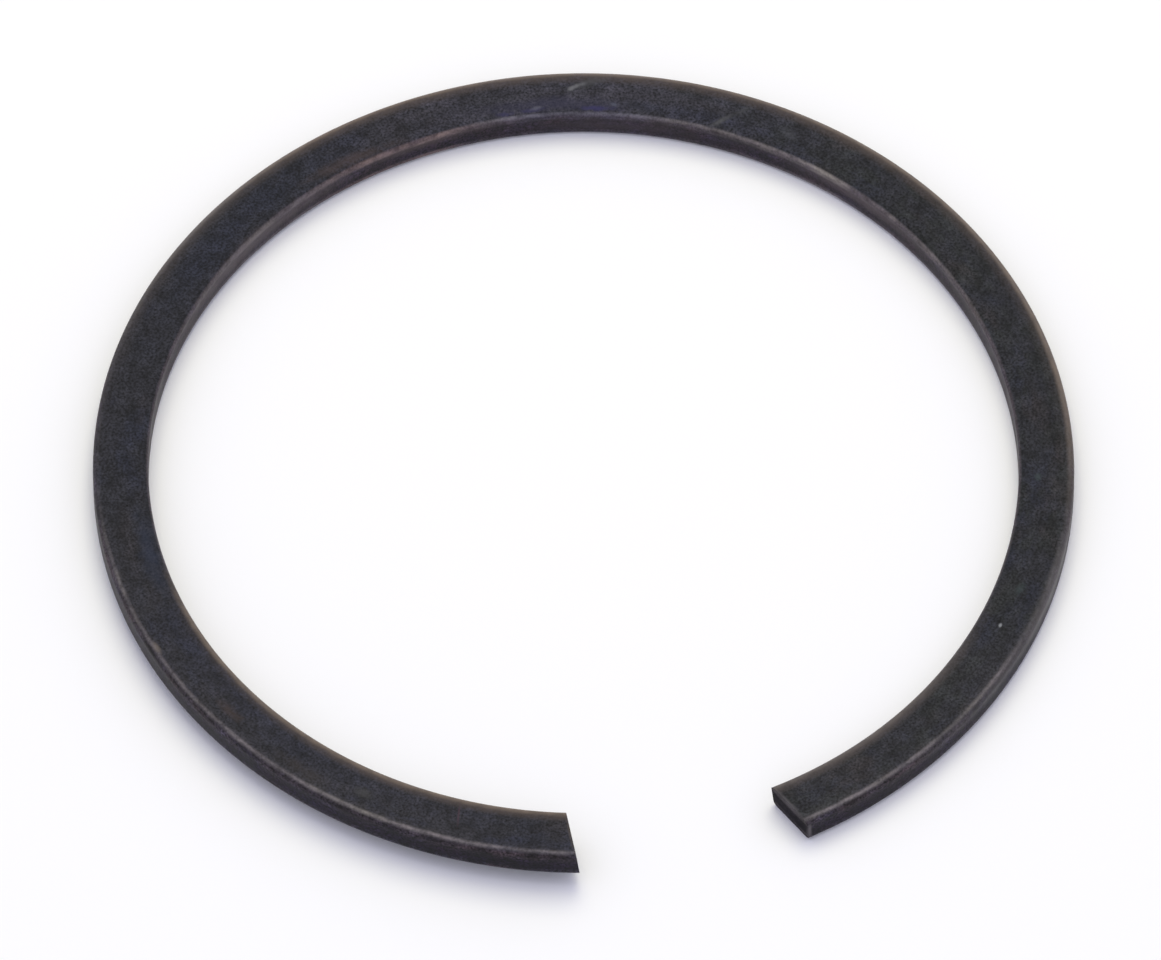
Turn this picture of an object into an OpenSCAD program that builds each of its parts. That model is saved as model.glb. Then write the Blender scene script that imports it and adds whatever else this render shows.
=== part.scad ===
// Open retaining ring of flat wire, with two sheared ends and a free gap.
// The ring's axis is Z, the gap lies on -Y, and the wire's middle at the back is at z = 0.

/* [Ring] */
// Free outside diameter of the ring
ring_d = 53; // [30:0.5:120]
// Width of the wire, along the radius
wire_w = 3; // [2:0.1:6]
// Thickness of the wire, along the axis
wire_t = 1.8; // [1.2:0.1:4]
// Radius of the two edges of the outer wall
outer_edge_r = 0.4; // [0.1:0.05:0.55]
// Radius of the two edges of the inner wall
inner_edge_r = 0.3; // [0.1:0.05:0.55]

/* [Ends] */
// Free gap between the ends, across the middle of the wire
gap = 11.9; // [3:0.1:20]
// Lean of both end faces away from the axis, in degrees
shear_lean = 6; // [0:0.5:20]
// Turn of both end faces away from the radius, in degrees
shear_turn = 12; // [0:0.5:20]

/* [Set] */
// Twist that stays in the wire at the back and lifts the left end, in degrees
set_twist = 1; // [0:0.1:3]

/* [Hidden] */
$fn = 240;
edge_facets = 32;
mid_r = (ring_d - wire_w) / 2;
half_arc = 180 - asin(gap / 2 / mid_r);
// Wire left beyond each end face until it is sheared off
surplus = wire_w + wire_t;
surplus_arc = surplus / mid_r * 180 / PI;

// One rounded wall of the section: two edges of radius r with their centres at x
module rounded_wall(x, r)
{
    translate([x - r, r - wire_t / 2]) square([2 * r, wire_t - 2 * r]);
    for (side = [-1, 1])
        translate([x, side * (wire_t / 2 - r)]) circle(r = r, $fn = edge_facets);
}

// Section of the wire, at its place beside the ring's axis
module wire_section()
{
    translate([ring_d / 2 - wire_w, 0])
    {
        translate([inner_edge_r, -wire_t / 2]) square([wire_w - inner_edge_r - outer_edge_r, wire_t]);
        rounded_wall(inner_edge_r, inner_edge_r);
        rounded_wall(wire_w - outer_edge_r, outer_edge_r);
    }
}

// Block that shears off what lies beyond an end face
module shear_block(side)
{
    translate([mid_r, 0, 0]) rotate([shear_lean, 0, shear_turn])
        translate([0, side * surplus, 0]) cube([4 * wire_w, 2 * surplus, 4 * wire_t], center = true);
}

// Half of the ring, flat in itself, from the back on +X to its end; side is 1 for the half that runs counterclockwise
module ring_half(side)
{
    difference()
    {
        rotate([side > 0 ? 0 : 180, 0, 0])
            rotate_extrude(angle = half_arc + surplus_arc) wire_section();
        rotate([0, 0, side * half_arc]) shear_block(side);
    }
}

// Turns a half about the line that the wire itself follows at the back
module twist_at_back(angle)
{
    translate([mid_r, 0, 0]) rotate([0, angle, 0]) translate([-mid_r, 0, 0]) children();
}

module retaining_ring()
{
    color([0.2, 0.2, 0.22]) rotate([0, 0, 90])
        for (side = [-1, 1])
            twist_at_back(side * set_twist / 2) ring_half(side);
}

retaining_ring();
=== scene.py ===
import math

import bmesh
import bpy
from mathutils import Euler, Matrix, Vector


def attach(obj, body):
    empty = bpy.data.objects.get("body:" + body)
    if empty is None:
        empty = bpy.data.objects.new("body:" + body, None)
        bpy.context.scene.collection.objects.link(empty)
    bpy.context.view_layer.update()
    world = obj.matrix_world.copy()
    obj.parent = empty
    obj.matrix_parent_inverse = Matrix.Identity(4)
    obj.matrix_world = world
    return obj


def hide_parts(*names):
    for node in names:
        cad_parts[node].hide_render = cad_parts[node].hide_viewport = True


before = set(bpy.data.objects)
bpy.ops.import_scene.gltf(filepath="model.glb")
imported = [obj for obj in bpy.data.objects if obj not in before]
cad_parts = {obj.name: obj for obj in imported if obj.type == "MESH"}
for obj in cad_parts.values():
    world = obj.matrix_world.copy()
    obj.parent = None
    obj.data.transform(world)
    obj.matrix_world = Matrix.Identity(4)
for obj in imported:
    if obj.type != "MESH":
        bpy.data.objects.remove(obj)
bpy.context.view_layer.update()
print("frame loaded:", sorted(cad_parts))

mm = 0.001
weldGap = 1e-7    # metres; points closer than this are one point

# Helpers for node trees


def addNode(tree, kind, **settings):
    node = tree.nodes.new(kind)
    for name, value in settings.items():
        if name.startswith("in_"):
            node.inputs[name[3:].replace("_", " ")].default_value = value
        else:
            setattr(node, name, value)
    return node


def plug(tree, value, socket):
    # a socket is linked, anything else is set as the socket's own value
    if isinstance(value, bpy.types.NodeSocket):
        tree.links.new(value, socket)
    elif value is not None:
        socket.default_value = value


def calc(tree, operation, first, second=None, third=None, clamp=False):
    node = addNode(tree, "ShaderNodeMath", operation=operation, use_clamp=clamp)
    for socket, value in zip(node.inputs, (first, second, third)):
        plug(tree, value, socket)
    return node.outputs[0]


def times(tree, first, *others):
    for value in others:
        first = calc(tree, "MULTIPLY", first, value)
    return first


def offFrom(tree, value, middle):
    return calc(tree, "ABSOLUTE", calc(tree, "SUBTRACT", value, middle))


def ramp(tree, value, low, high, fromLow=0.0, fromHigh=1.0, smooth=True):
    node = addNode(tree, "ShaderNodeMapRange", clamp=True)
    node.interpolation_type = "SMOOTHSTEP" if smooth else "LINEAR"
    plug(tree, value, node.inputs["Value"])
    plug(tree, fromLow, node.inputs["From Min"])
    plug(tree, fromHigh, node.inputs["From Max"])
    plug(tree, low, node.inputs["To Min"])
    plug(tree, high, node.inputs["To Max"])
    return node.outputs["Result"]


def blendColour(tree, factor, first, second, mode="MIX"):
    node = addNode(tree, "ShaderNodeMix", data_type="RGBA", blend_type=mode)
    plug(tree, factor, node.inputs["Factor"])
    for value, socket in zip((first, second), [s for s in node.inputs if s.type == "RGBA"]):
        plug(tree, (*value, 1.0) if isinstance(value, tuple) else value, socket)
    return [s for s in node.outputs if s.type == "RGBA"][0]


def stretchedNoise(tree, place, stretch, scale, detail, roughness, shift=(0.0, 0.0, 0.0)):
    # noise on a place that is squeezed by "stretch" first, so that it runs long in one direction
    mapping = addNode(tree, "ShaderNodeMapping")
    plug(tree, place, mapping.inputs["Vector"])
    mapping.inputs["Scale"].default_value = stretch
    mapping.inputs["Location"].default_value = shift
    cloud = addNode(tree, "ShaderNodeTexNoise", in_Scale=scale, in_Detail=detail, in_Roughness=roughness)
    tree.links.new(mapping.outputs[0], cloud.inputs["Vector"])
    return cloud.outputs["Fac"]


def startGroup(name, inputs, outputs):
    group = bpy.data.node_groups.new(name, "ShaderNodeTree")
    for label, kind, value in inputs:
        socket = group.interface.new_socket(name=label, in_out="INPUT", socket_type=kind)
        if value is not None:
            socket.default_value = value
    for label, kind in outputs:
        group.interface.new_socket(name=label, in_out="OUTPUT", socket_type=kind)
    return group, group.nodes.new("NodeGroupInput"), group.nodes.new("NodeGroupOutput")


def placeGroup(tree, group, **values):
    node = tree.nodes.new("ShaderNodeGroup")
    node.node_tree = group
    for name, value in values.items():
        plug(tree, value, node.inputs[name])
    return node


def seenRays(tree):
    # 1 for rays from the camera, and for what a finish mirrors or lets through
    rays = addNode(tree, "ShaderNodeLightPath")
    seen = calc(tree, "MAXIMUM", rays.outputs["Is Camera Ray"], rays.outputs["Is Glossy Ray"])
    return calc(tree, "MAXIMUM", seen, rays.outputs["Is Transmission Ray"])


# The ring, in the shape of its solid, with its own straightened place stored on each vertex

ringShape = {
    "outerDiameter": 53.0,
    "wireWidth": 3.0,
    "wireThickness": 1.8,
    "outerEdgeRadius": 0.4,
    "innerEdgeRadius": 0.3,
    "freeGap": 11.9,
    "shearLean": 6.0,
    "shearTurn": 12.0,
    "setTwist": 1.0,
    "twistRun": 14.0,      # degrees either side of the back over which the twist turns over
    "rimRadius": 0.07,     # edge left round each sheared face
    "rimInset": 0.06,      # narrow strip of faces inside that edge
    "surplusArc": 6.0,     # degrees of wire beyond each end, until it is sheared
    "shearReach": 8.0,     # only faces as near to an end as this are cut
    "steps": 420,
    "edgeSegments": 9,
    "rimSegments": 3,
    "flatCuts": 7,
    "shortestFlat": 0.5,   # sides of the section longer than this are flat ones
    "mostCorners": 8,      # a sheared face has more corners than this, and no other face has
}


def wireSection(bm, shape):
    outer = shape["outerDiameter"] / 2 * mm
    inner = outer - shape["wireWidth"] * mm
    top = shape["wireThickness"] / 2 * mm
    corners = [bm.verts.new((x, 0, z)) for x, z in ((outer, top), (inner, top), (inner, -top), (outer, -top))]
    bm.faces.new(corners)
    for pair, radius in (((0, 3), "outerEdgeRadius"), ((1, 2), "innerEdgeRadius")):
        bmesh.ops.bevel(bm, geom=[corners[n] for n in pair], offset=shape[radius] * mm, offset_type="OFFSET",
                        affect="VERTICES", segments=shape["edgeSegments"], profile=0.5, material=-1)
    flats = [e for e in bm.edges if e.calc_length() > shape["shortestFlat"] * mm]
    bmesh.ops.subdivide_edges(bm, edges=flats, cuts=shape["flatCuts"])
    bmesh.ops.delete(bm, geom=list(bm.faces), context="FACES_ONLY")


def shearEnd(bm, shape, side, middle, halfArc):
    turn = Matrix.Rotation(math.radians(90 + side * halfArc), 4, "Z")
    lean = Euler((math.radians(shape["shearLean"]), 0, math.radians(shape["shearTurn"]))).to_matrix()
    across = lean @ Vector((0, side, 0))
    spot = turn @ Vector((middle, 0, 0))
    reach = [f for f in bm.faces if (f.calc_center_median() - spot).length < shape["shearReach"] * mm]
    parts = [part for f in reach for part in (*f.verts, *f.edges)]
    near = list(dict.fromkeys(reach + parts))    # each once and in order, so that every run cuts alike
    bmesh.ops.bisect_plane(bm, geom=near, dist=weldGap, plane_co=spot, plane_no=turn.to_3x3() @ across,
                           clear_outer=True, clear_inner=False)


def wireArc(point):
    # degrees along the wire from the back, positive on the half that stands up
    return math.degrees(math.atan2(-point.x, point.y))


def makeRing(shape):
    middle = (shape["outerDiameter"] - shape["wireWidth"]) / 2 * mm
    halfArc = 180 - math.degrees(math.asin(shape["freeGap"] * mm / 2 / middle))
    fullArc = halfArc + shape["surplusArc"]
    bm = bmesh.new()
    wireSection(bm, shape)
    start = Matrix.Rotation(math.radians(90 - fullArc), 3, "Z")
    bmesh.ops.rotate(bm, verts=bm.verts, cent=(0, 0, 0), matrix=start)
    bmesh.ops.spin(bm, geom=bm.verts[:] + bm.edges[:], cent=(0, 0, 0), axis=(0, 0, 1),
                   angle=math.radians(2 * fullArc), steps=shape["steps"], use_merge=False,
                   use_duplicate=False)
    bmesh.ops.remove_doubles(bm, verts=bm.verts, dist=weldGap)
    for side in (-1, 1):
        shearEnd(bm, shape, side, middle, halfArc)
    caps = bmesh.ops.edgeloop_fill(bm, edges=[e for e in bm.edges if e.is_boundary])["faces"]
    bmesh.ops.recalc_face_normals(bm, faces=bm.faces)
    rims = list(dict.fromkeys(e for f in caps for e in f.edges))
    bmesh.ops.bevel(bm, geom=rims, offset=shape["rimRadius"] * mm, offset_type="OFFSET", affect="EDGES",
                    segments=shape["rimSegments"], profile=0.5, material=-1, clamp_overlap=True)
    caps = [f for f in bm.faces if len(f.verts) > shape["mostCorners"]]
    bmesh.ops.inset_individual(bm, faces=caps, thickness=shape["rimInset"] * mm, depth=0,
                               use_even_offset=True)
    bmesh.ops.recalc_face_normals(bm, faces=bm.faces)
    bm.normal_update()

    # straightened place in mm (along, across, through) and which way the surface faces, for the material
    wirePlace = bm.verts.layers.float_vector.new("wirePlace")
    wireFacing = bm.verts.layers.float_vector.new("wireFacing")
    for v in bm.verts:
        arc = wireArc(v.co)
        outward = Vector((v.co.x, v.co.y, 0)).normalized()
        onward = Vector((-outward.y, outward.x, 0))
        radius = math.hypot(v.co.x, v.co.y)
        v[wirePlace] = Vector((math.radians(arc) * middle, radius - middle, v.co.z)) / mm
        v[wireFacing] = Vector((v.normal.dot(onward), v.normal.dot(outward), v.normal.z))

    # the set twist: each half turns about the line that the wire follows at the back
    for v in bm.verts:
        part = max(-1.0, min(1.0, wireArc(v.co) / shape["twistRun"]))
        angle = math.radians(shape["setTwist"] / 2) * math.sin(part * math.pi / 2)
        pivot = Vector((0, middle, 0))
        v.co = pivot + Matrix.Rotation(-angle, 3, "X") @ (v.co - pivot)
    for f in bm.faces:
        f.smooth = len(f.verts) <= shape["mostCorners"]
    mesh = bpy.data.meshes.new("retainingRingWire")
    bm.to_mesh(mesh)
    bm.free()
    ring = bpy.data.objects.new("retainingRingWire", mesh)
    bpy.context.scene.collection.objects.link(ring)
    return ring


ring = makeRing(ringShape)
print("ring:", len(ring.data.vertices), "vertices,", len(ring.data.polygons), "faces")

# Effects that the finish places again and again


def makeGrainGroup():
    # fine grain and broader mottling, each spread about 0.5
    group, given, result = startGroup(
        "fineGrain",
        [
            ("Place", "NodeSocketVector", None),
            ("Scale", "NodeSocketFloat", 3.0),
            ("Contrast", "NodeSocketFloat", 1.0),
            ("Cloud Scale", "NodeSocketFloat", 0.8),
            ("Cloud Contrast", "NodeSocketFloat", 1.0),
        ],
        [("Fine", "NodeSocketFloat"), ("Cloud", "NodeSocketFloat")],
    )
    for label, detail, roughness, scaleName, contrastName in (
        ("Fine", 2.0, 0.55, "Scale", "Contrast"),
        ("Cloud", 4.0, 0.60, "Cloud Scale", "Cloud Contrast"),
    ):
        noise = addNode(group, "ShaderNodeTexNoise", in_Detail=detail, in_Roughness=roughness)
        group.links.new(given.outputs["Place"], noise.inputs["Vector"])
        group.links.new(given.outputs[scaleName], noise.inputs["Scale"])
        centred = calc(group, "SUBTRACT", noise.outputs["Fac"], 0.5)
        spread = times(group, centred, given.outputs[contrastName])
        group.links.new(calc(group, "ADD", spread, 0.5, clamp=True), result.inputs[label])
    return group


def makeMarkGroup(ragsAcross=1.6):
    # one scuff, scratch, stain or patch of painted sheen at a place on the wire, with about so many rags
    # across its width
    group, given, result = startGroup(
        "wireMark",
        [
            ("Place", "NodeSocketVector", None),
            ("Spot", "NodeSocketVector", None),
            ("Length", "NodeSocketFloat", 1.0),
            ("Width", "NodeSocketFloat", 0.1),
            ("Depth", "NodeSocketFloat", 1.4),
            ("Turn", "NodeSocketFloat", 0.0),
            ("Ragged", "NodeSocketFloat", 0.4),
            ("Softness", "NodeSocketFloat", 0.6),
        ],
        [("Mask", "NodeSocketFloat")],
    )
    offSpot = addNode(group, "ShaderNodeVectorMath", operation="SUBTRACT")
    group.links.new(given.outputs["Place"], offSpot.inputs[0])
    group.links.new(given.outputs["Spot"], offSpot.inputs[1])
    split = addNode(group, "ShaderNodeSeparateXYZ")
    group.links.new(offSpot.outputs[0], split.inputs[0])
    offAlong, offAcross, offThrough = split.outputs
    angle = calc(group, "RADIANS", given.outputs["Turn"])
    cosine = calc(group, "COSINE", angle)
    sine = calc(group, "SINE", angle)
    runOn = calc(group, "MULTIPLY_ADD", offAlong, cosine, times(group, offAcross, sine))
    runOver = calc(group, "SUBTRACT", times(group, offAcross, cosine), times(group, offAlong, sine))
    shares = []
    for run, size in ((runOn, "Length"), (runOver, "Width"), (offThrough, "Depth")):
        shares.append(calc(group, "DIVIDE", run, times(group, given.outputs[size], 0.5)))
    sumSquares = times(group, shares[0], shares[0])
    for share in shares[1:]:
        sumSquares = calc(group, "MULTIPLY_ADD", share, share, sumSquares)
    rags = addNode(group, "ShaderNodeTexNoise", in_Detail=3.0, in_Roughness=0.65)
    group.links.new(given.outputs["Place"], rags.inputs["Vector"])
    group.links.new(calc(group, "DIVIDE", ragsAcross, given.outputs["Width"]), rags.inputs["Scale"])
    bent = times(group, calc(group, "SUBTRACT", rags.outputs["Fac"], 0.5), given.outputs["Ragged"])
    distance = calc(group, "ADD", calc(group, "SQRT", sumSquares), bent)
    start = calc(group, "SUBTRACT", 1.0, given.outputs["Softness"])
    group.links.new(ramp(group, distance, 1.0, 0.0, start, 1.0), result.inputs["Mask"])
    return group


def makeBandGroup():
    # a band of facing round a middle value, such as the line on a rounded edge
    group, given, result = startGroup(
        "facingBand",
        [
            ("Facing", "NodeSocketFloat", 0.0),
            ("Middle", "NodeSocketFloat", 0.5),
            ("Reach", "NodeSocketFloat", 0.3),
        ],
        [("Mask", "NodeSocketFloat")],
    )
    off = offFrom(group, given.outputs["Facing"], given.outputs["Middle"])
    group.links.new(ramp(group, off, 1.0, 0.0, 0.0, given.outputs["Reach"]), result.inputs["Mask"])
    return group


grainGroup = makeGrainGroup()
markGroup = makeMarkGroup()
bandGroup = makeBandGroup()
print("effects:", ", ".join(group.name for group in (grainGroup, markGroup, bandGroup)))

# Black oxide on spring steel

oxideFinish = {
    "colours": {
        "face": (0.0184, 0.0182, 0.0238),
        "blueCloud": (0.0165, 0.0180, 0.0310),
        "greenCloud": (0.0195, 0.0208, 0.0220),
        "brownCloud": (0.0250, 0.0212, 0.0232),
        # painted sheen: the colour the upper face takes round the back, lighter as if it mirrored more light
        # there
        "back": (0.0322, 0.0302, 0.0402),
        "outerWall": (0.0116, 0.0079, 0.0172),
        "innerWall": (0.0255, 0.0170, 0.0275),
        # painted light: paler colours for the walls' foot, as if lit from the floor, and top, partly painted
        # light and partly a paler tone
        "wallTopToneAndLight": (0.0400, 0.0320, 0.0390),
        "wallFootBounceLight": (0.0620, 0.0530, 0.0670),
        "wallBrown": (1.08, 0.985, 0.91),     # what the walls' colour is multiplied by in brown patches
        "wallViolet": (0.93, 0.99, 1.13),     # and in violet ones
        "end": (0.0108, 0.0090, 0.0128),
        # the edge lines' colours: steel rubbed bare, and partly a painted highlight
        "wornSteelGleam": (0.3000, 0.2640, 0.2810),
        "wornCreamGleam": (0.3050, 0.2760, 0.2620),
        "wornPinkGleam": (0.3300, 0.2380, 0.2280),
        "wornBlueGleam": (0.2620, 0.2520, 0.3250),
    },
    # noises that run along the wire: how each is squeezed along, across and through it, and how fine it is
    "noises": {
        "drawn": {"stretch": (0.10, 1.0, 1.0), "scale": 5.5, "detail": 3.0, "roughness": 0.65},
        "blue": {"stretch": (0.5, 1.0, 1.0), "scale": 0.45, "detail": 4.0, "roughness": 0.6,
                 "shift": (3.0, 1.0, 0.0)},
        "green": {"stretch": (0.6, 1.0, 1.0), "scale": 0.7, "detail": 4.0, "roughness": 0.65,
                  "shift": (-11.0, 4.0, 2.0)},
        "brown": {"stretch": (0.4, 0.8, 1.0), "scale": 0.6, "detail": 4.0, "roughness": 0.6,
                  "shift": (31.0, -7.0, 5.0)},
        "stained": {"stretch": (0.6, 1.0, 1.0), "scale": 0.9, "detail": 3.0, "roughness": 0.6,
                    "shift": (-5.0, 9.0, 2.0)},
        "broken": {"stretch": (0.5, 1.0, 1.0), "scale": 2.4, "detail": 4.0, "roughness": 0.65,
                   "shift": (7.0, 0.0, 0.0)},
        "patchy": {"stretch": (1.0, 0.15, 0.15), "scale": 0.30, "detail": 3.0, "roughness": 0.6,
                   "shift": (21.0, 0.0, 0.0)},
    },
    "grain": {"Scale": 7.5, "Contrast": 1.5, "Cloud Scale": 1.1, "Cloud Contrast": 1.6},
    # how each effect comes and goes: its amount at the start and at the end, and where it starts and ends
    "fades": {
        # by the value of a noise
        "blueCloud": (0.0, 0.8, 0.48, 0.68),
        "greenCloud": (0.2, 0.9, 0.44, 0.64),
        "brownCloud": (0.0, 0.7, 0.52, 0.70),
        "backSheenCloud": (1.0, 0.45, 0.40, 0.65),
        "wallBrown": (0.0, 1.0, 0.50, 0.64),
        "wallViolet": (0.0, 1.0, 0.50, 0.36),
        "grain": (-0.95, 0.95, 0.1, 0.9),
        "mottle": (-0.62, 0.62, 0.1, 0.9),
        "streak": (-0.6, 0.6, 0.25, 0.75),
        "brokenBrown": (1.0, 0.6, 0.35, 0.70),
        "brokenWornGleam": (0.55, 1.20, 0.32, 0.62),
        "patchyWornGleam": (0.65, 1.15, 0.35, 0.65),
        "grainyWornGleam": (0.75, 1.25, 0.1, 0.9),
        "wornCreamGleam": (0.0, 1.0, 0.47, 0.66),
        "mottleRoughness": (-0.05, 0.06, 0.2, 0.8),
        "drawnRoughness": (-0.04, 0.04, 0.2, 0.8),
        # by mm along the wire from the back, positive on the half that stands up
        "greenRight": (1.0, 0.15, -24.0, 2.0),
        "brownRight": (1.0, 0.55, 0.0, 40.0),
        "greyLeftStart": (0.0, 1.0, 9.0, 17.0),
        "greyLeftEnd": (1.0, 0.0, 30.0, 38.0),
        "greyRight": (1.0, 0.0, -52.0, -44.0),
        "outerLineRight": (0.0, 1.0, -60.5, -53.5),
        "outerLineLeft": (1.0, 0.0, 34.0, 46.0),
        "innerLineLeft": (1.0, 0.3, 15.0, 28.0),
        "innerLineRight": (0.25, 1.0, -42.0, -30.0),
        # by mm along the wire from the middle of the painted sheen that lightens the back, and from that of a
        # tint
        "backSheen": (0.9, 0.0, 4.0, 19.0),
        "nearTint": (0.9, 0.0, 2.5, 6.5),
        # by mm through the wire, from its middle
        # painted light on the walls: where the paler top and foot lie
        "wallTopToneAndLight": (0.0, 0.8, 0.10, 0.75),
        "wallFootBounceLight": (0.8, 0.0, -0.75, -0.20),
        "wallGrain": (1.9, 1.2, 0.15, 0.50),
        # painted shade: the walls darker towards the bottom
        "wallFallShade": (-0.26, 0.0, -0.10, 0.50),
        "onCorner": (0.0, 1.0, 0.36, 0.62),
        # by how squarely the surface faces outward, inward or along the wire
        "onWall": (0.0, 1.0, 0.45, 0.95),
        "onEnd": (0.0, 1.0, 0.5, 0.95),
        "offEnd": (1.0, 0.1, 0.40, 0.90),
    },
    "backSheenMiddle": -4.0,
    # how much of an effect the inner wall takes
    "innerShares": {"wallTopToneAndLight": 0.47, "wallFootBounceLight": 0.60, "grain": 0.72, "mottle": 0.55},
    "wallMottle": 1.5,
    "faceStreak": 0.12,
    "darkest": 0.05,            # grain and mottling darken the colour to this share at most
    # browned edges, and tan on their rounding: how they fade across, along and through the wire
    "browned": [
        {
            "outer": (0.0, 1.0, 0.48, 1.20), "inner": (0.0, 1.0, -0.66, -1.18), "top": (0.0, 1.0, 0.22, 0.60),
            "outerLeft": (1.0, 0.0, 6.0, 34.0), "outerRight": (0.0, 1.0, -50.0, -16.0),
            "innerLeft": (0.0, 1.0, 40.0, 62.0), "innerRight": (1.0, 0.0, -66.0, -52.0),
            "colour": (0.0820, 0.0630, 0.0560), "greyer": (0.0780, 0.0640, 0.0610), "strength": 0.85,
        },
        {
            "outer": (0.0, 1.0, 1.00, 1.34), "inner": (0.0, 1.0, -1.02, -1.34), "top": (0.0, 1.0, 0.42, 0.70),
            "outerLeft": (1.0, 0.0, 12.0, 28.0), "outerRight": (0.0, 1.0, -50.0, -38.0),
            "innerLeft": (0.0, 1.0, 40.0, 47.0), "innerRight": (0.6, 0.0, -66.0, -54.0),
            "colour": (0.1900, 0.1480, 0.1180), "greyer": (0.1720, 0.1500, 0.1400), "strength": 0.85,
        },
    ],
    # lines on the edges, partly steel that handling has rubbed bare and partly a painted highlight: which way
    # they face, and how strongly they show; the outer one is weaker on the far side, and the inner one lies
    # lower to the right and to the left
    "lines": {
        "outer": {"middle": 0.40, "reach": 0.46, "strength": 0.34, "farSide": 0.25},
        "inner": {"middle": 0.66, "reach": 0.50, "strength": 0.36, "rightMiddle": 0.76,
                  "rightSpan": (-17.0, -11.0), "leftMiddle": 0.92, "leftSpan": (-1.0, 4.0)},
        "rim": {"middle": 0.60, "reach": 0.38, "strength": 0.62},
    },
    # stretches of edge where the line, rubbed steel and painted highlight, is stronger than the rest: middle
    # and length in mm along the wire from the back
    "stretches": [
        {"edge": "outer", "middle": 62.6, "length": 11.6, "strength": 0.58},
        {"edge": "outer", "middle": 51.0, "length": 9.0, "strength": 0.20},
        {"edge": "outer", "middle": -69.5, "length": 5.0, "strength": 0.50},
        {"edge": "outer", "middle": -65.0, "length": 3.0, "strength": 0.30},
        {"edge": "outer", "middle": -59.0, "length": 5.0, "strength": 0.20},
        {"edge": "inner", "middle": -20.2, "length": 3.8, "strength": 1.00},
        {"edge": "inner", "middle": -17.4, "length": 1.6, "strength": 0.40},
        {"edge": "inner", "middle": -11.8, "length": 4.6, "strength": 0.25},
        {"edge": "inner", "middle": -25.3, "length": 0.6, "strength": 1.00},
        {"edge": "inner", "middle": 7.0, "length": 2.6, "strength": 0.30},
        {"edge": "inner", "middle": 3.2, "length": 3.0, "strength": 0.55},
        {"edge": "inner", "middle": -0.2, "length": 2.6, "strength": 0.25},
    ],
    "stretchCore": 0.25,        # share of a stretch's length, from its middle, where the line is at full strength
    "stretchEdge": 0.60,        # and where the stronger line ends
    "steelTints": [(6.0, "wornPinkGleam"), (-5.0, "wornBlueGleam")],
    "roughness": 0.46,
    "wornRoughness": 0.38,
    "endRoughness": 0.95,
    "endSpan": (0.6, 0.95),     # how squarely a surface faces along the wire to take the ends' roughness
    "ior": 1.5,
    "specular": 0.16,
    "bump": 0.5,
    "bumpHeight": 0.02,
    "bumpGrain": 0.6,           # the rest of the bump is drawn streaks
    # broad, faint blue clouds in the oxide, and below them marks and stains on it and patches of painted
    # sheen:
    # spot along, across and through the wire, and length, width and depth, in mm
    "clouds": [
        {"spot": (17.0, -0.3, 0.9), "size": (24.0, 3.0, 1.4), "turn": 0, "ragged": 1.0, "soft": 1.0,
         "colour": (0.0160, 0.0178, 0.0300), "strength": 0.75},
        {"spot": (56.0, -0.5, 0.9), "size": (34.0, 3.2, 1.4), "turn": 0, "ragged": 1.0, "soft": 1.0,
         "colour": (0.0180, 0.0187, 0.0290), "strength": 0.75},
        {"spot": (-12.0, -0.8, 0.9), "size": (14.0, 1.6, 1.4), "turn": 0, "ragged": 1.2, "soft": 1.0,
         "colour": (0.0205, 0.0215, 0.0365), "strength": 0.70},
    ],
    "marks": [
        # the scuff at the back, in short strokes
        {"spot": (-4.78, 0.27, 0.9), "size": (0.66, 0.40, 1.4), "turn": -38, "ragged": 0.6, "soft": 0.9,
         "colour": (0.150, 0.150, 0.162), "strength": 0.80},
        {"spot": (-5.05, 0.43, 0.9), "size": (0.64, 0.38, 1.4), "turn": -32, "ragged": 0.6, "soft": 0.9,
         "colour": (0.145, 0.145, 0.157), "strength": 0.80},
        {"spot": (-5.38, 0.56, 0.9), "size": (0.62, 0.36, 1.4), "turn": -28, "ragged": 0.6, "soft": 1.0,
         "colour": (0.135, 0.135, 0.145), "strength": 0.70},
        {"spot": (-5.60, 0.62, 0.9), "size": (3.20, 0.90, 1.4), "turn": -20, "ragged": 1.0, "soft": 1.0,
         "colour": (0.070, 0.070, 0.078), "strength": 0.50},
        # the slanted scratch beside it
        {"spot": (-13.3, -0.75, 0.9), "size": (2.00, 0.52, 1.4), "turn": -50, "ragged": 0.7, "soft": 1.0,
         "colour": (0.082, 0.082, 0.086), "strength": 0.70},
        {"spot": (-14.2, 0.25, 0.9), "size": (1.90, 0.44, 1.4), "turn": -50, "ragged": 0.9, "soft": 1.0,
         "colour": (0.060, 0.061, 0.065), "strength": 0.38},
        # a bright speck, a pit, and a thin line across the wire by the left end
        {"spot": (-55.9, -0.16, 0.9), "size": (0.40, 0.26, 1.4), "turn": -8, "ragged": 0.3, "soft": 0.8,
         "colour": (0.280, 0.290, 0.310), "strength": 0.75},
        {"spot": (36.95, -0.2, 0.9), "size": (0.20, 0.18, 1.4), "turn": 0, "ragged": 0.2, "soft": 0.6,
         "colour": (0.001, 0.001, 0.001), "strength": 1.0},
        {"spot": (66.25, -0.35, 0.9), "size": (2.30, 0.17, 1.4), "turn": 79, "ragged": 0.9, "soft": 1.0,
         "colour": (0.075, 0.032, 0.048), "strength": 0.50},
        # blue stains beside the inner edge at the back, with light specks in them, and tan ones further left
        {"spot": (-0.9, -1.12, 0.9), "size": (1.7, 0.40, 1.4), "turn": 2, "ragged": 1.5, "soft": 1.0,
         "colour": (0.035, 0.032, 0.084), "strength": 0.70},
        {"spot": (-2.5, -1.06, 0.9), "size": (1.8, 0.42, 1.4), "turn": -3, "ragged": 1.5, "soft": 1.0,
         "colour": (0.032, 0.028, 0.087), "strength": 0.76},
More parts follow.
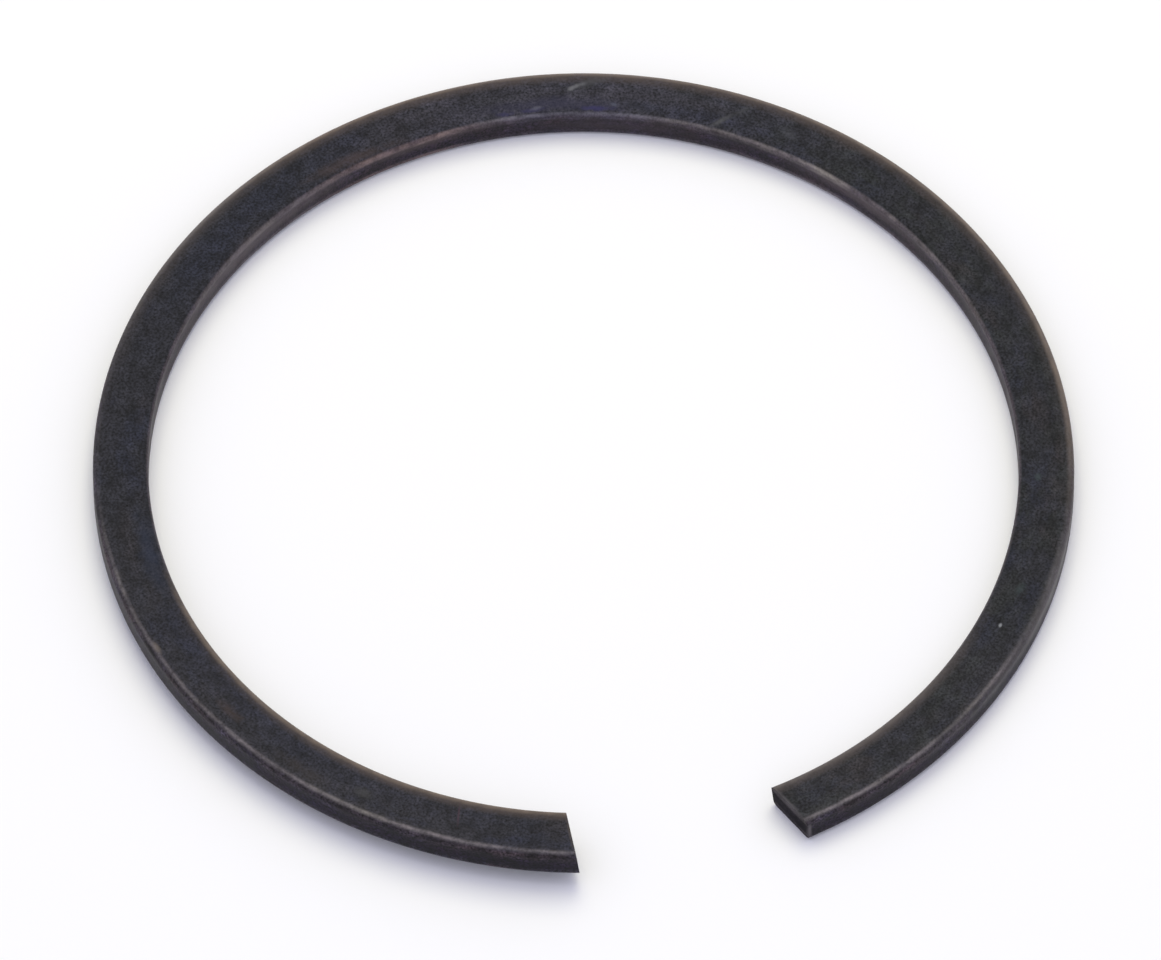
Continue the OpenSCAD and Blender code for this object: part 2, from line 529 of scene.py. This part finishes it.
        {"spot": (-6.2, -1.05, 0.9), "size": (3.2, 0.55, 1.4), "turn": 0, "ragged": 1.6, "soft": 1.0,
         "colour": (0.032, 0.028, 0.095), "strength": 0.80},
        {"spot": (-3.6, -0.75, 0.9), "size": (12.0, 1.5, 1.4), "turn": 0, "ragged": 1.2, "soft": 1.0,
         "colour": (0.028, 0.027, 0.056), "strength": 0.55},
        {"spot": (-2.75, -0.95, 0.9), "size": (1.0, 0.36, 1.4), "turn": -12, "ragged": 1.0, "soft": 0.8,
         "colour": (0.100, 0.100, 0.130), "strength": 0.60},
        {"spot": (-7.15, -0.78, 0.9), "size": (0.7, 0.36, 1.4), "turn": 20, "ragged": 0.8, "soft": 0.8,
         "colour": (0.085, 0.090, 0.130), "strength": 0.60},
        {"spot": (8.5, -1.0, 0.9), "size": (8.0, 1.1, 1.4), "turn": 4, "ragged": 1.2, "soft": 1.0,
         "colour": (0.058, 0.040, 0.038), "strength": 0.55},
        # light and dull spots on the upper face
        {"spot": (-17.2, -0.2, 0.9), "size": (1.3, 0.8, 1.4), "turn": 20, "ragged": 1.0, "soft": 1.0,
         "colour": (0.060, 0.060, 0.072), "strength": 0.50},
        {"spot": (-45.64, -0.45, 0.9), "size": (0.75, 0.55, 1.4), "turn": 0, "ragged": 0.6, "soft": 1.0,
         "colour": (0.045, 0.060, 0.062), "strength": 0.65},
        {"spot": (-53.23, -0.05, 0.9), "size": (1.1, 0.80, 1.4), "turn": 15, "ragged": 0.8, "soft": 1.0,
         "colour": (0.038, 0.050, 0.052), "strength": 0.65},
        {"spot": (61.0, 0.2, 0.9), "size": (1.8, 0.9, 1.4), "turn": 10, "ragged": 1.0, "soft": 1.0,
         "colour": (0.052, 0.052, 0.052), "strength": 0.50},
        {"spot": (52.1, 0.35, 0.9), "size": (2.6, 1.0, 1.4), "turn": 0, "ragged": 1.4, "soft": 1.0,
         "colour": (0.046, 0.032, 0.028), "strength": 0.60},
        {"spot": (57.4, 0.6, 0.9), "size": (5.0, 1.2, 1.4), "turn": 0, "ragged": 1.2, "soft": 1.0,
         "colour": (0.034, 0.028, 0.027), "strength": 0.50},
        {"spot": (40.3, -0.8, 0.9), "size": (8.0, 1.5, 1.4), "turn": 0, "ragged": 1.2, "soft": 1.0,
         "colour": (0.018, 0.025, 0.050), "strength": 0.55},
        {"spot": (46.4, 1.15, 0.9), "size": (1.1, 0.50, 1.4), "turn": 0, "ragged": 0.8, "soft": 0.9,
         "colour": (0.150, 0.125, 0.110), "strength": 0.65},
        # rubbed edges of the sheared ends: the right one's corner and upper edge, the left one's upper edge
        {"spot": (-72.14, 1.45, 0.00), "size": (0.36, 1.0, 2.0), "turn": 0, "ragged": 0.6, "soft": 0.9,
         "colour": (0.125, 0.112, 0.120), "strength": 0.85},
        {"spot": (-72.58, -0.05, 0.9), "size": (3.40, 0.34, 1.4), "turn": 78, "ragged": 0.6, "soft": 1.0,
         "colour": (0.085, 0.078, 0.086), "strength": 0.75},
        {"spot": (72.38, 0.0, 0.9), "size": (3.40, 0.30, 1.4), "turn": 78, "ragged": 0.6, "soft": 1.0,
         "colour": (0.085, 0.068, 0.060), "strength": 0.60},
        # paler parts of the walls: outside by the right end, lower down a painted sheen where that wall is
        # seen edge-on, and inside either side of the back
        {"spot": (-56.5, 1.35, 0.50), "size": (26.0, 1.0, 1.3), "turn": 0, "ragged": 0.6, "soft": 0.9,
         "colour": (0.105, 0.098, 0.100), "strength": 0.62},
        # painted sheen: the right end's outer wall, seen edge-on, paler all down its height
        {"spot": (-51.5, 1.40, 0.30), "size": (13.0, 1.1, 1.9), "turn": 0, "ragged": 0.6, "soft": 1.0,
         "colour": (0.150, 0.139, 0.138), "strength": 0.64},
        {"spot": (-22.5, -1.5, 0.35), "size": (13.0, 1.0, 1.2), "turn": 0, "ragged": 0.6, "soft": 0.9,
         "colour": (0.086, 0.066, 0.074), "strength": 0.62},
        {"spot": (-7.0, -1.5, -0.10), "size": (15.0, 1.0, 1.5), "turn": 0, "ragged": 0.7, "soft": 1.0,
         "colour": (0.058, 0.046, 0.056), "strength": 0.45},
        {"spot": (16.5, -1.5, 0.25), "size": (20.0, 1.0, 1.9), "turn": 0, "ragged": 0.6, "soft": 0.9,
         "colour": (0.102, 0.083, 0.090), "strength": 0.67},
        {"spot": (4.5, -1.5, 0.40), "size": (9.0, 0.8, 1.0), "turn": 0, "ragged": 0.8, "soft": 0.9,
         "colour": (0.078, 0.058, 0.059), "strength": 0.58},
    ],
}


def splitAttribute(tree, name):
    stored = addNode(tree, "ShaderNodeAttribute", attribute_name=name).outputs["Vector"]
    split = addNode(tree, "ShaderNodeSeparateXYZ")
    tree.links.new(stored, split.inputs[0])
    return stored, split.outputs


def readWire(tree, finish):
    # where each point is on the straightened wire, and which way the surface faces there
    place, (along, across, through) = splitAttribute(tree, "wirePlace")
    facing = splitAttribute(tree, "wireFacing")[1]
    wire = {"place": place, "along": along, "across": across, "through": through, "outward": facing[1]}
    wire["inward"] = times(tree, facing[1], -1.0)
    wire["endness"] = calc(tree, "ABSOLUTE", facing[0])
    wire["onOuter"] = ramp(tree, wire["outward"], *finish["fades"]["onWall"])
    wire["onInner"] = ramp(tree, wire["inward"], *finish["fades"]["onWall"])
    wire["onWall"] = calc(tree, "MAXIMUM", wire["onOuter"], wire["onInner"])
    return wire


def placeMark(tree, place, colour, mark):
    length, width, depth = mark["size"]
    spot = placeGroup(tree, markGroup, Place=place, Spot=mark["spot"], Length=length, Width=width,
                      Depth=depth, Turn=mark["turn"], Ragged=mark["ragged"], Softness=mark["soft"])
    strength = times(tree, spot.outputs["Mask"], mark["strength"])
    return blendColour(tree, strength, colour, mark["colour"])


def cloudsAndBackSheen(tree, wire, noise, finish):
    # clouds of blue, green and brown in the oxide, and a painted sheen that makes the back lighter
    colours = finish["colours"]
    fades = finish["fades"]
    blue = ramp(tree, noise["blue"], *fades["blueCloud"])
    colour = blendColour(tree, blue, colours["face"], colours["blueCloud"])
    for name in ("green", "brown"):
        cloud = ramp(tree, noise[name], *fades[name + "Cloud"])
        cloud = times(tree, cloud, ramp(tree, wire["along"], *fades[name + "Right"]))
        colour = blendColour(tree, cloud, colour, colours[name + "Cloud"])
    # painted sheen: the upper face lighter round the back, broken up by a cloud
    backSheen = ramp(tree, offFrom(tree, wire["along"], finish["backSheenMiddle"]), *fades["backSheen"])
    backSheen = times(tree, backSheen, ramp(tree, noise["green"], *fades["backSheenCloud"]))
    return blendColour(tree, backSheen, colour, colours["back"])


def paintWalls(tree, wire, noise, finish, colour):
    # violet walls with paler bands along their top and foot, the foot's painted light as from the floor and
    # the top's partly painted light and partly a paler tone, broad clouds, patches, and dark sheared ends
    colours = finish["colours"]
    fades = finish["fades"]
    colour = blendColour(tree, wire["onOuter"], colour, colours["outerWall"])
    colour = blendColour(tree, wire["onInner"], colour, colours["innerWall"])
    # painted light: the walls paler at the foot as if lit from the floor, and at the top partly as painted
    # light and partly a paler tone
    for band in ("wallTopToneAndLight", "wallFootBounceLight"):
        share = ramp(tree, wire["onInner"], wire["onWall"], finish["innerShares"][band])
        amount = times(tree, ramp(tree, wire["through"], *fades[band]), share)
        colour = blendColour(tree, amount, colour, colours[band])
    for cloud in finish["clouds"]:
        colour = placeMark(tree, wire["place"], colour, cloud)
    for patch in ("wallBrown", "wallViolet"):
        amount = times(tree, ramp(tree, noise["stained"], *fades[patch]), wire["onWall"])
        colour = blendColour(tree, amount, colour, colours[patch], "MULTIPLY")
    return blendColour(tree, ramp(tree, wire["endness"], *fades["onEnd"]), colour, colours["end"])


def grainColour(tree, wire, noise, grain, finish, colour):
    # grain, mottling and drawn streaks lighten and darken the colour, and painted shade darkens the walls
    # downwards
    fades = finish["fades"]
    shares = finish["innerShares"]
    onWall = wire["onWall"]
    fine = ramp(tree, grain.outputs["Fine"], *fades["grain"], smooth=False)
    wallGrain = ramp(tree, wire["through"], *fades["wallGrain"])
    wallGrain = times(tree, wallGrain, ramp(tree, wire["onInner"], 1.0, shares["grain"]))
    fine = calc(tree, "MULTIPLY_ADD", fine, ramp(tree, onWall, 1.0, wallGrain), 1.0)
    mottle = ramp(tree, grain.outputs["Cloud"], *fades["mottle"], smooth=False)
    wallMottle = ramp(tree, onWall, 1.0, finish["wallMottle"])
    wallMottle = times(tree, wallMottle, ramp(tree, wire["onInner"], 1.0, shares["mottle"]))
    mottle = calc(tree, "MULTIPLY_ADD", mottle, wallMottle, 1.0)
    streak = ramp(tree, noise["drawn"], *fades["streak"], smooth=False)
    streak = times(tree, streak, ramp(tree, onWall, finish["faceStreak"], 1.0))
    # painted shade: the walls darker towards the bottom
    fallShade = times(tree, ramp(tree, wire["through"], *fades["wallFallShade"], smooth=False), onWall)
    lift = calc(tree, "MAXIMUM", fine, finish["darkest"])
    lift = times(tree, lift, calc(tree, "MAXIMUM", mottle, finish["darkest"]))
    lift = times(tree, lift, calc(tree, "ADD", streak, 1.0))
    lift = times(tree, lift, calc(tree, "ADD", fallShade, 1.0))
    scaled = addNode(tree, "ShaderNodeVectorMath", operation="SCALE")
    tree.links.new(colour, scaled.inputs[0])
    tree.links.new(lift, scaled.inputs["Scale"])
    return scaled.outputs[0]


def brownEdges(tree, wire, noise, finish, colour):
    # the outer edges are browned round the back and the right, the inner ones towards the ends
    fades = finish["fades"]
    along = wire["along"]
    unbroken = ramp(tree, noise["broken"], *fades["brokenBrown"])
    unbroken = times(tree, unbroken, ramp(tree, wire["endness"], *fades["offEnd"]))
    greyLeft = ramp(tree, along, *fades["greyLeftStart"])
    greyLeft = times(tree, greyLeft, ramp(tree, along, *fades["greyLeftEnd"]))
    greyer = calc(tree, "MAXIMUM", greyLeft, ramp(tree, along, *fades["greyRight"]))
    for edge in finish["browned"]:
        outer = times(tree, ramp(tree, wire["across"], *edge["outer"]), ramp(tree, along, *edge["outerLeft"]),
                      ramp(tree, along, *edge["outerRight"]))
        endwards = ramp(tree, along, *edge["innerLeft"])
        endwards = calc(tree, "MAXIMUM", endwards, ramp(tree, along, *edge["innerRight"]))
        inner = times(tree, ramp(tree, wire["across"], *edge["inner"]), endwards)
        onTop = ramp(tree, wire["through"], *edge["top"])
        amount = times(tree, calc(tree, "ADD", outer, inner), unbroken, onTop)
        tone = blendColour(tree, greyer, edge["colour"], edge["greyer"])
        colour = blendColour(tree, times(tree, amount, edge["strength"]), colour, tone)
    return colour


def wornGleamLine(tree, wire, noise, finish, name, facing):
    # one line on an edge, rubbed steel and partly a painted highlight, patchy along the wire and stronger in
    # its stretches
    fades = finish["fades"]
    line = finish["lines"][name]
    along = wire["along"]
    middle = line["middle"]
    amount = ramp(tree, noise["patchy"], *fades["patchyWornGleam"])
    # painted highlight: the outer line weaker on the far side, as a gleam would be
    if name == "outer":
        farSide = ramp(tree, along, *fades["outerLineRight"])
        farSide = times(tree, farSide, ramp(tree, along, *fades["outerLineLeft"]))
        amount = times(tree, amount, ramp(tree, farSide, 1.0, line["farSide"]))
    if name == "inner":
        amount = times(tree, amount, ramp(tree, along, *fades["innerLineLeft"]))
        amount = times(tree, amount, ramp(tree, along, *fades["innerLineRight"]))
        middle = ramp(tree, along, line["rightMiddle"], middle, *line["rightSpan"])
        middle = ramp(tree, along, middle, line["leftMiddle"], *line["leftSpan"])
    for stretch in [s for s in finish["stretches"] if s["edge"] == name]:
        core = stretch["length"] * finish["stretchCore"]
        edge = stretch["length"] * finish["stretchEdge"]
        more = ramp(tree, offFrom(tree, along, stretch["middle"]), stretch["strength"], 0.0, core, edge)
        amount = calc(tree, "ADD", amount, more)
    band = placeGroup(tree, bandGroup, Facing=facing, Middle=middle, Reach=line["reach"]).outputs["Mask"]
    return times(tree, band, amount, line["strength"])


def wornGleamEdges(tree, wire, noise, grain, finish):
    # the lines of the rounded edges and of the sheared rims together, rubbed steel and partly a painted
    # highlight, broken up by the grain
    fades = finish["fades"]
    onCorner = ramp(tree, calc(tree, "ABSOLUTE", wire["through"]), *fades["onCorner"])
    outer = times(tree, wornGleamLine(tree, wire, noise, finish, "outer", wire["outward"]), onCorner)
    inner = times(tree, wornGleamLine(tree, wire, noise, finish, "inner", wire["inward"]), onCorner)
    rim = wornGleamLine(tree, wire, noise, finish, "rim", wire["endness"])
    wornGleam = calc(tree, "MAXIMUM", calc(tree, "MAXIMUM", outer, inner), rim)
    wornGleam = calc(tree, "MULTIPLY", wornGleam, ramp(tree, noise["broken"], *fades["brokenWornGleam"]), clamp=True)
    grainy = ramp(tree, grain.outputs["Fine"], *fades["grainyWornGleam"], smooth=False)
    return calc(tree, "MULTIPLY", wornGleam, grainy, clamp=True)


def bareSteelGleam(tree, wire, noise, finish):
    # the colour of the edge lines, bare steel and partly a painted highlight: creamier in patches, and pink
    # and blue either side of the back
    colours = finish["colours"]
    fades = finish["fades"]
    creamy = ramp(tree, noise["brown"], *fades["wornCreamGleam"])
    steel = blendColour(tree, creamy, colours["wornSteelGleam"], colours["wornCreamGleam"])
    for middle, tint in finish["steelTints"]:
        nearTint = ramp(tree, offFrom(tree, wire["along"], middle), *fades["nearTint"])
        steel = blendColour(tree, nearTint, steel, colours[tint])
    return steel


def makeOxide(finish):
    material = bpy.data.materials.new("blackOxide")
    material.use_nodes = True
    tree = material.node_tree
    tree.nodes.clear()
    output = addNode(tree, "ShaderNodeOutputMaterial")
    shader = addNode(tree, "ShaderNodeBsdfPrincipled")
    tree.links.new(shader.outputs[0], output.inputs["Surface"])
    fades = finish["fades"]
    wire = readWire(tree, finish)
    noise = {name: stretchedNoise(tree, wire["place"], **way) for name, way in finish["noises"].items()}
    grain = placeGroup(tree, grainGroup, Place=wire["place"], **finish["grain"])

    colour = cloudsAndBackSheen(tree, wire, noise, finish)
    colour = paintWalls(tree, wire, noise, finish, colour)
    colour = grainColour(tree, wire, noise, grain, finish, colour)
    colour = brownEdges(tree, wire, noise, finish, colour)
    for mark in finish["marks"]:
        colour = placeMark(tree, wire["place"], colour, mark)
    # the edge lines: rubbed steel, and partly a painted highlight
    wornGleam = wornGleamEdges(tree, wire, noise, grain, finish)
    colour = blendColour(tree, wornGleam, colour, bareSteelGleam(tree, wire, noise, finish))
    tree.links.new(colour, shader.inputs["Base Color"])

    rough = ramp(tree, grain.outputs["Cloud"], *fades["mottleRoughness"])
    rough = calc(tree, "ADD", finish["roughness"], rough)
    rough = calc(tree, "ADD", rough, ramp(tree, noise["drawn"], *fades["drawnRoughness"]))
    rough = ramp(tree, wornGleam, rough, finish["wornRoughness"])
    rough = ramp(tree, wire["endness"], rough, finish["endRoughness"], *finish["endSpan"])
    tree.links.new(rough, shader.inputs["Roughness"])
    tree.links.new(wornGleam, shader.inputs["Metallic"])
    shader.inputs["IOR"].default_value = finish["ior"]
    shader.inputs["Specular IOR Level"].default_value = finish["specular"]

    grainPart = times(tree, grain.outputs["Fine"], finish["bumpGrain"])
    height = calc(tree, "ADD", grainPart, times(tree, noise["drawn"], 1 - finish["bumpGrain"]))
    bump = addNode(tree, "ShaderNodeBump", in_Strength=finish["bump"], in_Distance=finish["bumpHeight"] * mm)
    tree.links.new(height, bump.inputs["Height"])
    tree.links.new(bump.outputs[0], shader.inputs["Normal"])
    return material


oxide = makeOxide(oxideFinish)
ring.data.materials.append(oxide)
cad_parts["retaining_ring"].data.materials.clear()
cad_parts["retaining_ring"].data.materials.append(oxide)
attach(ring, "root")
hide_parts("retaining_ring")
print("finish:", oxide.name, "with", len(oxideFinish["marks"]), "marks")

# Floor: a pale sheet that the right half lies on

floorSheet = {
    "width": 3.0,                    # metres
    "colour": (0.930, 0.925, 0.938),
    "glow": 0.03,                    # light that the sheet adds where it is looked at
    "rest": (0.0, 25.0, -0.922),     # the sheet's middle in mm, just under the ring's back
    "lean": 0.5,                     # degrees, as the right half leans
}


def makeFloor(sheet):
    bm = bmesh.new()
    bmesh.ops.create_grid(bm, x_segments=1, y_segments=1, size=sheet["width"] / 2)
    lean = Matrix.Rotation(math.radians(sheet["lean"]), 4, "X")
    place = Matrix.Translation(Vector(sheet["rest"]) * mm)
    bmesh.ops.transform(bm, matrix=place @ lean, verts=bm.verts)
    mesh = bpy.data.meshes.new("paleFloor")
    bm.to_mesh(mesh)
    bm.free()
    floor = bpy.data.objects.new("paleFloor", mesh)
    bpy.context.scene.collection.objects.link(floor)
    material = bpy.data.materials.new("paleSheet")
    material.use_nodes = True
    tree = material.node_tree
    tree.nodes.clear()
    output = addNode(tree, "ShaderNodeOutputMaterial")
    matt = addNode(tree, "ShaderNodeBsdfDiffuse", in_Color=(*sheet["colour"], 1.0))
    glow = addNode(tree, "ShaderNodeEmission", in_Color=(1.0, 1.0, 1.0, 1.0))
    tree.links.new(times(tree, seenRays(tree), sheet["glow"]), glow.inputs["Strength"])
    both = addNode(tree, "ShaderNodeAddShader")
    tree.links.new(matt.outputs[0], both.inputs[0])
    tree.links.new(glow.outputs[0], both.inputs[1])
    # from below the sheet is clear, so that the ring's underside can be looked at
    side = addNode(tree, "ShaderNodeNewGeometry")
    clear = addNode(tree, "ShaderNodeBsdfTransparent")
    surface = addNode(tree, "ShaderNodeMixShader")
    tree.links.new(side.outputs["Backfacing"], surface.inputs[0])
    tree.links.new(both.outputs[0], surface.inputs[1])
    tree.links.new(clear.outputs[0], surface.inputs[2])
    tree.links.new(surface.outputs[0], output.inputs["Surface"])
    mesh.materials.append(material)
    return floor


floor = makeFloor(floorSheet)
print("floor made")

# Soft light: a pale sky all round, a broad lamp above and behind for the shadow, and a small one overhead

studio = {
    "skyColour": (0.935, 0.945, 1.140),
    "skyLow": 0.22,         # how strongly the sky lights from near the floor
    "skyHigh": 0.99,        # and from overhead
    "skySeen": 0.93,        # how pale it shows behind the floor and in the finish
    # a lamp that doesn't gleam gives light, but isn't mirrored in the finish
    "backLamp": {"place": (0.050, 0.235, 0.590), "size": 0.42, "power": 1.30, "colour": (1.155, 1.125, 0.650),
                 "gleam": False},
    "topLamp": {"place": (0.040, -0.060, 0.600), "size": 0.12, "power": 0.22, "colour": (1.0, 0.985, 0.96),
                "gleam": True},
}


def makeLamp(name, lamp):
    data = bpy.data.lights.new(name, "AREA")
    data.shape = "SQUARE"
    data.size = lamp["size"]
    data.energy = lamp["power"]
    data.color = lamp["colour"]
    light = bpy.data.objects.new(name, data)
    light.location = lamp["place"]
    light.rotation_euler = (-light.location).to_track_quat("-Z", "Y").to_euler()
    light.visible_glossy = lamp["gleam"]
    bpy.context.scene.collection.objects.link(light)


def makeSky(light):
    world = bpy.data.worlds.new("paleSky")
    world.use_nodes = True
    tree = world.node_tree
    background = tree.nodes["Background"]
    direction = addNode(tree, "ShaderNodeTexCoord")
    parts = addNode(tree, "ShaderNodeSeparateXYZ")
    tree.links.new(direction.outputs["Generated"], parts.inputs[0])
    seen = seenRays(tree)
    fromAbove = ramp(tree, parts.outputs[2], light["skyLow"], light["skyHigh"], smooth=False)
    strength = ramp(tree, seen, fromAbove, light["skySeen"], smooth=False)
    tree.links.new(blendColour(tree, seen, light["skyColour"], (1.0, 1.0, 1.0)), background.inputs["Color"])
    tree.links.new(strength, background.inputs["Strength"])
    bpy.context.scene.world = world


makeSky(studio)
for name in ("backLamp", "topLamp"):
    makeLamp(name, studio[name])
print("light made")

# Camera at the photograph's viewing angle

cameraView = {
    "azimuth": -12.21,
    "elevation": 53.716,
    "roll": -0.316,
    "distance": 1300.0,           # mm
    "pixelsPerMm": 18.511,        # at that distance
    "aside": (0.169, 0.497),      # mm by which the ring's centre lies right of and above the frame's centre
    "frameWidth": 1161,           # pixels
    "sensorWidth": 36,
    "clip": (0.1, 10),
}


def makeCamera(view):
    turn, rise, roll = (math.radians(view[k]) for k in ("azimuth", "elevation", "roll"))
    back = Vector((math.sin(turn) * math.cos(rise), -math.cos(turn) * math.cos(rise), math.sin(rise)))
    level = Vector((math.cos(turn), math.sin(turn), 0))
    upward = back.cross(level)
    right = level * math.cos(roll) + upward * math.sin(roll)
    up = upward * math.cos(roll) - level * math.sin(roll)
    aim = -(right * view["aside"][0] + up * view["aside"][1]) * mm
    data = bpy.data.cameras.new("photoCamera")
    data.sensor_fit = "HORIZONTAL"
    data.sensor_width = view["sensorWidth"]
    data.lens = view["pixelsPerMm"] * view["distance"] * view["sensorWidth"] / view["frameWidth"]
    data.clip_start, data.clip_end = view["clip"]
    camera = bpy.data.objects.new("photoCamera", data)
    axes = Matrix((right, up, back)).transposed().to_4x4()
    camera.matrix_world = Matrix.Translation(aim + back * view["distance"] * mm) @ axes
    bpy.context.scene.collection.objects.link(camera)
    return camera


bpy.context.scene.camera = makeCamera(cameraView)
bpy.context.scene.view_settings.view_transform = "Standard"
print("camera made")
